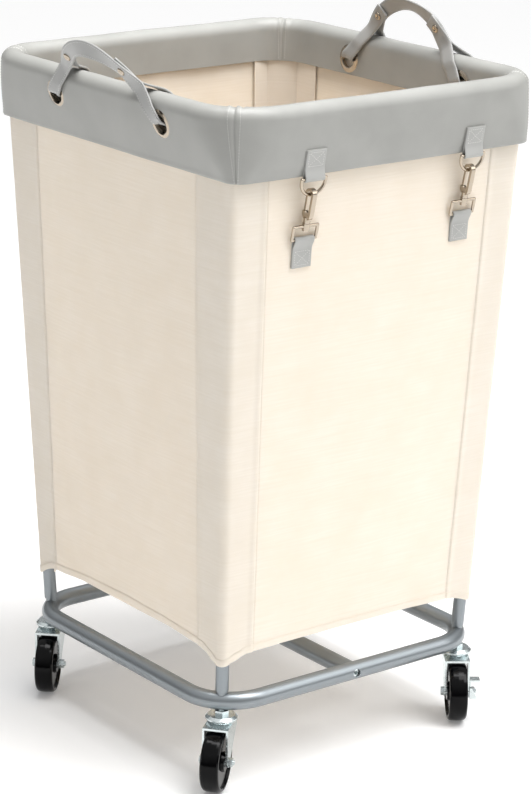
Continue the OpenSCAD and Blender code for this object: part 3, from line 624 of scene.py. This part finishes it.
def corner_point(row, middle, angle):
    """The point of one row of the section at an angle round the corner at middle degrees."""
    a, b, r, z, part = row
    cx = math.copysign(a - r, math.cos(math.radians(middle)))
    cy = math.copysign(b - r, math.sin(math.radians(middle)))
    return np.array((cx + r * math.cos(math.radians(angle)), cy + r * math.sin(math.radians(angle)), z))


CORNER_ANGLES = [-45, -38, -31, -25, -20, -15, -11, -8, -5.5, -3.2, -1.6, -0.7, 0]
CORNER_ANGLES += [-a for a in reversed(CORNER_ANGLES[:-1])]


def cuff_grid():
    """The plain cuff, with what each column is, and the section of its rows."""
    section = cuff_section()
    plain = list(np.linspace(0, 1, 42)[1:-1])
    columns, info = [], []
    for middle in (-45, 45, 135, 225):
        for a in CORNER_ANGLES:
            columns.append([corner_point(row, middle, middle + a) for row in section])
            info.append(("corner", middle, a))
        start = [corner_point(row, middle, middle + 45) for row in section]
        end = [corner_point(row, middle + 90, middle + 45) for row in section]
        fractions = plain
        if middle in (-45, 135):
            reach = RING_Y - 60 * MM
            marks = [(y + reach) / (2 * reach) for y in EYELET_YS]
            marks = marks if middle == -45 else [1 - m for m in marks]
            fine = [m + d for m in marks for d in np.arange(-22, 22.1, 2.2) * MM / (2 * reach)]
            far = [f for f in plain if min(abs(f - m) for m in marks) > 24 * MM / (2 * reach)]
            fractions = sorted(fine + far)
        for f in fractions:
            columns.append([a * (1 - f) + b * f for a, b in zip(start, end)])
            info.append(("side", middle, f))
    return np.array(columns).transpose(1, 0, 2), info, section


print("cuff rows", len(cuff_section()))

# %% Shape the cuff
PUCKER = {-45: 0.9, 45: 0.8, 135: 1.5, 225: 1.3}


def dress_cuff(grid, info, section):
    """Pushes the cuff out and in: soft waves, the padded leaf, corner seams and puckers."""
    out = outward(grid, True)
    push = np.zeros(grid.shape[:2])
    for j, (kind, middle, value) in enumerate(info):
        for i, row in enumerate(section):
            part, p = row[4], grid[i, j]
            push[i, j] += 0.9 * MM * wobble((p[0], p[1], p[2] * 1.6), 0.085, 31)
            push[i, j] += 0.3 * MM * wobble(p, 0.022, 37)
            if part < 1:
                push[i, j] += 1.4 * MM * math.sin(math.pi * part)
                push[i, j] += 0.6 * MM * math.exp(-((part - 0.03) / 0.03) ** 2)
            if kind == "corner":
                groove = -0.9 * math.exp(-(value / 0.9) ** 2)
                groove += 0.6 * math.exp(-((abs(value) - 4.5) / 2.4) ** 2)
                push[i, j] += groove * MM * (1 if part < 1.15 else 0.7)
                if 1.1 < part < 2.5:
                    fade = math.exp(-((part - 1.75) / 0.4) ** 2) * math.exp(-(value / 26) ** 2)
                    ripple = math.sin(value * 0.62 + 1.3 * wobble(p, 0.03, 5))
                    push[i, j] += PUCKER[middle] * MM * fade * ripple
    return grid + out * push[..., None]


def at_eyelet(middle):
    """True for a face behind an eyelet's flange, where the leaf is cut out."""
    beside = abs(abs(middle[0] - MID.x) - RING_X) < 22 * MM
    near = min(math.hypot(middle[1] - y, middle[2] - EYELET_Z) for y in EYELET_YS)
    return beside and near < 14 * MM


flat_cuff, cuff_info, section = cuff_grid()
cuff_points = dress_cuff(flat_cuff, cuff_info, section) + np.array(MID)
cuff = shell("rim_cuff", cuff_points, True, 1.8 * MM, CUFF_SKIN, drop=at_eyelet)
print("cuff", cuff_points.shape, "top", round(float(cuff_points[..., 2].max()), 4))

# %% [markdown]
# ## Straps as ribbons
# A strap is a flat band swept along a path. At each point the band needs three directions: along,
# out of its face, and across. The edges are rounded, and a folded edge stands a little thicker
# than the middle, as on any turned and stitched strap.

# %% Ribbon sweep
OUTER_FACE = [(-1, -0.35), (-0.985, 0.3), (-0.94, 0.85), (-0.86, 1.0), (-0.76, 0.86), (-0.4, 0.84),
              (0, 0.84), (0.4, 0.84), (0.76, 0.86), (0.86, 1.0), (0.94, 0.85), (0.985, 0.3), (1, -0.35)]
RIBBON = OUTER_FACE + [(0.94, -0.9), (0.5, -0.92), (0, -0.92), (-0.5, -0.92), (-0.94, -0.9)]


def resample(values, far, count):
    """Values at count even steps of the distance far along a path."""
    values = np.array(values, float)
    return np.array([[np.interp(s, far, values[:, k]) for k in range(values.shape[1])]
                     for s in np.linspace(0, far[-1], count)])


def even(path, faces, step, rounds=3):
    """The path and its face directions at even steps, with the corners softened."""
    path, faces = np.array(path, float), np.array(faces, float)
    far = np.concatenate([[0], np.cumsum(np.linalg.norm(np.diff(path, axis=0), axis=1))])
    count = max(int(far[-1] / step), 4)
    path, faces = resample(path, far, count), resample(faces, far, count)
    for _ in range(rounds):
        path[1:-1] = (path[:-2] + 2 * path[1:-1] + path[2:]) / 4
        faces[1:-1] = (faces[:-2] + 2 * faces[1:-1] + faces[2:]) / 4
    return path, faces


def ribbon(name, path, faces, width, thickness, material):
    """A band along the path; faces holds the direction out of its face at each point."""
    along = np.gradient(path, axis=0)
    along /= np.linalg.norm(along, axis=1, keepdims=True)
    face = faces - (faces * along).sum(axis=1, keepdims=True) * along
    face /= np.linalg.norm(face, axis=1, keepdims=True)
    across = np.cross(along, face)
    rings = np.array([[p + a * u * width / 2 + f * v * thickness / 2 for u, v in RIBBON]
                      for p, a, f in zip(path, across, face)])
    made = shell(name, rings, True, 0, material)
    count = len(RIBBON)
    mesh = made.data
    points = [tuple(v.co) for v in mesh.vertices]
    faces_in = [tuple(p.vertices) for p in mesh.polygons]
    last = len(points) - count
    faces_in += [tuple(reversed(range(count))), tuple(range(last, last + count))]
    mesh.clear_geometry()
    mesh.from_pydata(points, [], faces_in)
    mesh.polygons.foreach_set("use_smooth", [len(p.vertices) == 4 for p in mesh.polygons])
    return made, across, face


print("ribbon profile points", len(RIBBON))

# %% [markdown]
# ## The two handles
# Each handle is one strap. It starts with a squared end riveted behind the grip, drops down
# inside the rim to the inner eyelet, comes out through the outer eyelet, climbs to the grip, and
# does the same in reverse on the other side. It bends where it leaves the rim.

# %% Handle paths
STRAP_W = 20 * MM
STRAP_T = 2.6 * MM
PITCH = (EYELET_YS[1] - EYELET_YS[0]) / 2
HANDLE_Y = (EYELET_YS[0] + EYELET_YS[1]) / 2
RIVET_Y = 55 * MM
RIVET_H = 44 * MM
GRIP_RISE = 22 * MM
GRIP_R = (RIVET_Y ** 2 + GRIP_RISE ** 2) / (2 * GRIP_RISE)
GRIP_MID = RIVET_H + GRIP_RISE - GRIP_R
GRIP_END = math.asin(RIVET_Y / GRIP_R)
PIVOT = 30 * MM
GRIP_TWIST = math.radians(28)


def leg_line(k, lean):
    """Middle of one leg as (outwards, up, share of the way to the grip); k is 1 outside, -1 inside."""
    loop = ROLL_R + STRAP_T / 2 + 2.0 * MM
    foot = PIVOT - 6 * MM
    tip = np.array((foot * math.sin(lean) + k * 4 * MM * math.cos(lean),
                    foot * math.cos(lean) - k * 4 * MM * math.sin(lean)))
    along = math.degrees(math.atan2(tip[1], tip[0]))
    off = math.degrees(math.acos(loop / np.linalg.norm(tip)))
    last = along - k * off
    first = min(-12, last - 8) if k > 0 else max(186, last + 8)
    down = EYELET_Z - RIM_Z
    leaf = (9.4 if k > 0 else -15.3) * MM
    line = [(leaf + k * MM, down), (leaf + k * 3.2 * MM, down + 0.8 * MM),
            (leaf + k * 5.6 * MM, down + 4 * MM)]
    line += [(loop * math.cos(math.radians(a)), loop * math.sin(math.radians(a)))
             for a in np.linspace(first, last, 7)]
    return line + [tuple(tip)]


def handle_paths(side, lean):
    """Points and face directions of the whole strap, from one riveted end to the other."""
    lean = math.radians(lean)
    up = np.array((side * math.sin(lean), 0, math.cos(lean)))
    out = np.array((side * math.cos(lean), 0, -math.sin(lean)))
    rim = np.array((MID.x + side * RING_X, HANDLE_Y, RIM_Z))

    def along_rim(height):
        low = EYELET_Z - RIM_Z
        return PITCH + (66 * MM - PITCH) * min(max((height - low) / (PIVOT - low), 0), 1)

    def leg(e, k):
        points, faces = [], []
        line = leg_line(k, lean)
        for i, (o, h) in enumerate(line):
            a, b = np.array(line[max(i - 1, 0)]), np.array(line[min(i + 1, len(line) - 1)])
            t = (b - a) / np.linalg.norm(b - a)
            points.append(rim + np.array((side * o, e * along_rim(h), h)))
            faces.append(np.array((side * t[1], 0, -t[0])))
        return points, faces

    def grip(angle, offset, more=0.0):
        radial = np.array((0, math.sin(angle), 0)) + up * math.cos(angle)
        tangent = np.array((0, math.cos(angle), 0)) - up * math.sin(angle)
        return rim + up * GRIP_MID + radial * GRIP_R + out * offset + tangent * more

    inner = -STRAP_T / 2 - 0.25 * MM
    points, faces = [], []
    for more in (14, 9, 4, 0):
        points.append(grip(-GRIP_END, inner, more * MM))
        faces.append(out)
    lo, fa = leg(-1, -1)
    points += lo[::-1]
    faces += fa[::-1]
    points.append(rim + np.array((side * -3 * MM, -PITCH, EYELET_Z - RIM_Z)))
    faces.append(np.array((0, 0, 1.0)))
    lo, fa = leg(-1, 1)
    points += lo
    faces += fa
    for angle in np.linspace(-GRIP_END, GRIP_END, 19):
        points.append(grip(angle, STRAP_T / 2 + 0.25 * MM))
        radial = np.array((0, math.sin(angle), 0)) + up * math.cos(angle)
        twist = GRIP_TWIST * math.cos(angle / GRIP_END * math.pi / 2) ** 2
        faces.append(out * math.cos(twist) + radial * math.sin(twist))
    lo, fa = leg(1, 1)
    points += lo[::-1]
    faces += fa[::-1]
    points.append(rim + np.array((side * -3 * MM, PITCH, EYELET_Z - RIM_Z)))
    faces.append(np.array((0, 0, 1.0)))
    lo, fa = leg(1, -1)
    points += lo
    faces += fa
    for more in (0, -4, -9, -14):
        points.append(grip(GRIP_END, inner, more * MM))
        faces.append(out)
    return points, faces, rim, up


# %% Rivets
# Radius and height of the cap in millimetres, from its middle to its edge and back underneath.
RIVET_SHAPE = [(0.01, 0.9), (1.6, 0.95), (2.2, 1.5), (3.4, 1.75), (4.6, 1.35), (5.3, 0.6), (5.5, -0.1),
               (2.0, -0.4)]


def rivets(name, places, out):
    """Domed rivet caps with a dimple, one on each face of the strap at every place."""
    first = np.cross(out, (0, 1.0, 0))
    first = first / np.linalg.norm(first)
    second = np.cross(out, first)
    rings, starts = [], []
    for place in places:
        for sign in (1, -1):
            starts.append(len(rings))
            angles = np.linspace(0, 2 * math.pi, 29)[:-1] * sign
            for r, h in RIVET_SHAPE:
                base = place + out * sign * (STRAP_T + 0.3 * MM + h * MM)
                rings.append([base + r * MM * (first * math.cos(a) + second * math.sin(a))
                              for a in angles])
    grid = np.array(rings)

    def between_caps(middle):
        return min(np.linalg.norm(middle - grid[i + k].mean(axis=0))
                   for i in starts for k in range(len(RIVET_SHAPE))) > 6 * MM

    return shell(name, grid, True, 0, NICKEL, drop=between_caps)


print("rivet profile points", len(RIVET_SHAPE))

# %% Make the handles
handle_stitches = []
for side_name, side, lean in (("left", -1, 36), ("right", 1, -13)):
    points, faces, rim, up = handle_paths(side, lean)
    path, face = even(points, faces, 2.2 * MM, 4)
    strap, across, out = ribbon("handle_strap_" + side_name, path, face, STRAP_W, STRAP_T, STRAP_SKIN)
    store = {"points": [], "faces": []}
    for edge in (-1, 1):
        line = path + across * edge * (STRAP_W / 2 - 2.6 * MM) + out * (STRAP_T / 2 * 0.86)
        stitch_row(store, line, out, pitch=3.4 * MM, length=2.4 * MM)
    row = stitches("handle_stitching_" + side_name, store, GREY_THREAD)
    for piece in (strap, row):
        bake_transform(piece)
    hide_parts("handle_" + side_name, "handle_loops")
    handle_stitches.append(row)
    outer = np.array((side * math.cos(math.radians(lean)), 0, -math.sin(math.radians(lean))))
    places = [rim + up * RIVET_H + np.array((0, e * RIVET_Y, 0)) for e in (-1, 1)]
    caps = rivets("rivet_caps_" + side_name, places, outer)
    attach(caps, "handle_" + side_name)
    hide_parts("handle_" + side_name + "_rivets")
print("handles", [h.name for h in handle_stitches])

# %% [markdown]
# ## Tabs of the snap closures
# Each ring and each hook base hangs in a folded strap. The fold goes round the wire, the two plies
# are pressed flat together, and a box with a cross in it is sewn through them.

# %% Fold the tabs
TAB_W = 28 * MM
TAB_PLY = 1.7 * MM
TAB_LENGTH = 34 * MM
WIRE_R = 2 * MM
D_BAR_Y = -0.2486


def tab_frame(node, upper):
    """Middle of the wire a tab holds, the way along the tab and the way out of the fabric."""
    low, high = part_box(node)
    x = (low[0] + high[0]) / 2
    if upper:
        lean = math.atan2(13.5, 69)
        along = np.array((0, -math.sin(lean), math.cos(lean)))
        wire = np.array((x, D_BAR_Y, high[2] - WIRE_R))
    else:
        lean = math.atan2(41, 709)
        along = -np.array((0, -math.sin(lean), math.cos(lean)))
        wire = np.array((x, high[1] - WIRE_R, low[2] + WIRE_R))
    out = np.cross((1, 0, 0), along)
    out = out if out[1] < 0 else -out
    return wire, along, out


def tab_path():
    """The fold in its own plane as (out of the fabric, along the tab)."""
    reach = TAB_LENGTH
    back, front = -3.5 * MM, -1.75 * MM
    line = [(back, reach), (back, 20 * MM), (back, 6 * MM)]
    line += [(-3.2 * MM * math.cos(math.radians(a)), -3.2 * MM * math.sin(math.radians(a)))
             for a in (0, 30, 60, 90, 120, 150, 180)]
    line += [(1.2 * MM, 5 * MM), (-0.9 * MM, 9 * MM)]
    return line + [(front, 13 * MM), (front, 22 * MM), (front, reach)]


for side_name in ("left", "right"):
    for node, upper in (("d_ring_" + side_name, True), ("loop_base_" + side_name, False)):
        wire, along, out = tab_frame(node, upper)
        line = tab_path()
        points = [wire + out * o + along * h for o, h in line]
        faces = []
        for i in range(len(line)):
            a, b = np.array(line[max(i - 1, 0)]), np.array(line[min(i + 1, len(line) - 1)])
            t = (b - a) / np.linalg.norm(b - a)
            faces.append(out * t[1] - along * t[0])
        path, face = even(points, faces, 1.4 * MM, 2)
        label = ("upper_tab_" if upper else "lower_tab_") + side_name
        tab = ribbon(label, path, face, TAB_W, TAB_PLY, TAB_SKIN_PAINTED_LIGHTER)[0]
        store = {"points": [], "faces": []}
        side_way = np.array((1.0, 0, 0))
        skin = out * (TAB_PLY * 0.45 - 1.75 * MM)
        corners = [wire + skin + side_way * u * MM + along * h * MM
                   for u, h in ((-10.5, 14.5), (10.5, 14.5), (10.5, 31), (-10.5, 31))]
        runs = [(corners[0], corners[1]), (corners[1], corners[2]), (corners[2], corners[3]),
                (corners[3], corners[0]), (corners[0], corners[2]), (corners[1], corners[3])]
        for a, b in runs:
            stitch_row(store, [a, b], [out, out], pitch=2.8 * MM, length=2.2 * MM, thick=0.5 * MM)
        thread = stitches(label + "_stitching", store, GREY_THREAD)
        for piece in (tab, thread):
            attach(piece, "frame")
        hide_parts("cuff_tabs" if upper else "bag_tabs")

# %% [markdown]
# ## Stitching on the bag and the cuff
# The seams of the bag are top stitched with thread of its own colour, 3 mm to a stitch. The cuff
# has a row on both sides of each corner seam and none along its edges.

# %% Sew the seams
bag_out = outward(bag_grid, True)
bag_store = {"points": [], "faces": []}
for j, (side, (kind, value, step)) in enumerate(steps):
    if kind in ("seam", "far seam") and abs(abs(value) - 2.5 * MM) < 1e-6 and value < 0:
        stitch_row(bag_store, bag_grid[:-4, j], bag_out[:-4, j])
HEM_STITCH_ROW = 5
loop = list(range(bag_grid.shape[1])) + [0]
stitch_row(bag_store, bag_grid[HEM_STITCH_ROW, loop], bag_out[HEM_STITCH_ROW, loop])
bag_thread = stitches("bag_seam_stitching", bag_store, COTTON_THREAD)

cuff_out = outward(cuff_points, True)
cuff_store = {"points": [], "faces": []}
for j, (kind, middle, value) in enumerate(cuff_info):
    if kind == "corner" and abs(abs(value) - 5.5) < 0.01:
        stitch_row(cuff_store, cuff_points[:, j], cuff_out[:, j], pitch=3.4 * MM, length=2.4 * MM)
cuff_thread = stitches("cuff_seam_stitching", cuff_store, GREY_THREAD)

# %% [markdown]
# ## Which piece stands for what
# The bag, its linings and floor, the cuff and their stitching ride on the frame's body, and the
# plain solids they replace are hidden.

# %% Ride and replace
for piece, slot_name in [(bag_shell, "canvas"), (bag_floor, "canvas"), (bag_thread, "canvas"),
                         (cuff, "grey_leatherette"), (cuff_thread, "grey_leatherette")]:
    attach(piece, "frame")
for piece in linings:
    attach(piece, "frame")
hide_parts("bag_front", "bag_back", "bag_left", "bag_right", "sleeve_front_left",
            "sleeve_front_right", "sleeve_back_left", "sleeve_back_right")
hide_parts("bag_floor")
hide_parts("cuff_front", "cuff_back", "cuff_left", "cuff_right")

# %% [markdown]
# ## Studio
# A wide pale floor fills the picture. A large soft light from the front right makes the front the
# brightest side, a weaker one fills the left, and two from above light the floor and the inside.
# Mirrors see a studio that is dark near the floor and bright above, which draws the metal's edges.

# %% Floor, lights and camera
WHITE, shader = new_finish("matt white paper", Base_Color=colour("#F6F6F6"), Roughness=0.9)
shader.inputs["Emission Color"].default_value = (1, 1, 1, 1)
shader.inputs["Emission Strength"].default_value = 0.15


def floor_disc(reach=30, rings=10, spokes=48):
    """A round floor as a grid of rings, from a small hole in the middle outwards."""
    rows = []
    for r in np.geomspace(0.001, reach, rings):
        rows.append([(r * math.cos(a), r * math.sin(a), -0.0002)
                     for a in -np.linspace(0, 2 * math.pi, spokes + 1)[:-1]])
    return np.array(rows)


studio_floor = shell("studio_floor", floor_disc(), True, 0, WHITE)


def softbox(name, place, aim, size, power):
    """A rectangular area light at a place, turned towards its aim."""
    lamp = bpy.data.lights.new(name, "AREA")
    lamp.shape = "RECTANGLE"
    lamp.size, lamp.size_y = size
    lamp.energy = power
    made = bpy.data.objects.new(name, lamp)
    bpy.context.scene.collection.objects.link(made)
    made.location = place
    made.rotation_euler = (Vector(aim) - Vector(place)).to_track_quat("-Z", "Y").to_euler()
    return made


lamps = [softbox("key from the front right", (2.6, -3.0, 2.4), (0, 0, 0.5), (2.4, 2.4), 37),
         softbox("fill from the left", (-3.2, -0.6, 1.8), (0, 0, 0.4), (2.0, 2.4), 2),
         softbox("over the bag", (0.05, 0.0, 2.5), (0.02, 0, 0.8), (1.3, 1.3), 42)]
sky = bpy.data.lights.new("overhead bank", "SUN")
sky.energy = 1.9
sky.angle = math.radians(35)
overhead = bpy.data.objects.new("overhead bank", sky)
bpy.context.scene.collection.objects.link(overhead)
overhead.rotation_euler = Vector((-0.25, 0.45, -1)).to_track_quat("-Z", "Y").to_euler()
world = bpy.data.worlds.new("studio light")
bpy.context.scene.world = world
world.use_nodes = True
background = world.node_tree.nodes["Background"]
background.inputs["Color"].default_value = (1, 1, 1, 1)
direction = add_node(world, "ShaderNodeTexCoord").outputs["Generated"]
height_of = add_node(world, "ShaderNodeSeparateXYZ", {"Vector": direction}).outputs["Z"]
mirrored = add_node(world, "ShaderNodeMapRange", {"Value": height_of, "From Min": 0.05, "From Max": 0.75,
                                                  "To Min": 0.02, "To Max": 0.9})
glossy = add_node(world, "ShaderNodeLightPath").outputs["Is Glossy Ray"]
strength = add_node(world, "ShaderNodeMix", {0: glossy, 2: 0.32, 3: mirrored.outputs[0]})
world.node_tree.links.new(strength.outputs[0], background.inputs["Strength"])

EYE = Vector((-2.00525 + MID.x, -2.61798, 1.41523))
azimuth, height, roll = (math.radians(v) for v in (-37.657, 17.054, 1.074))
back = Vector((math.sin(azimuth) * math.cos(height), -math.cos(azimuth) * math.cos(height),
               math.sin(height)))
level = Vector((math.cos(azimuth), math.sin(azimuth), 0))
upright = back.cross(level)
right = level * math.cos(roll) + upright * math.sin(roll)
top = upright * math.cos(roll) - level * math.sin(roll)
camera = bpy.data.objects.new("camera", bpy.data.cameras.new("camera"))
bpy.context.scene.collection.objects.link(camera)
turn = Matrix((right, top, back)).transposed().to_4x4()
camera.matrix_world = Matrix.Translation(EYE) @ turn
camera.data.sensor_width = 36
camera.data.lens = 125.5693
bpy.context.scene.camera = camera
bpy.context.scene.view_settings.view_transform = "Standard"
print(len(lamps), "softboxes, camera at", [round(v, 3) for v in EYE], "lens", round(camera.data.lens, 1))
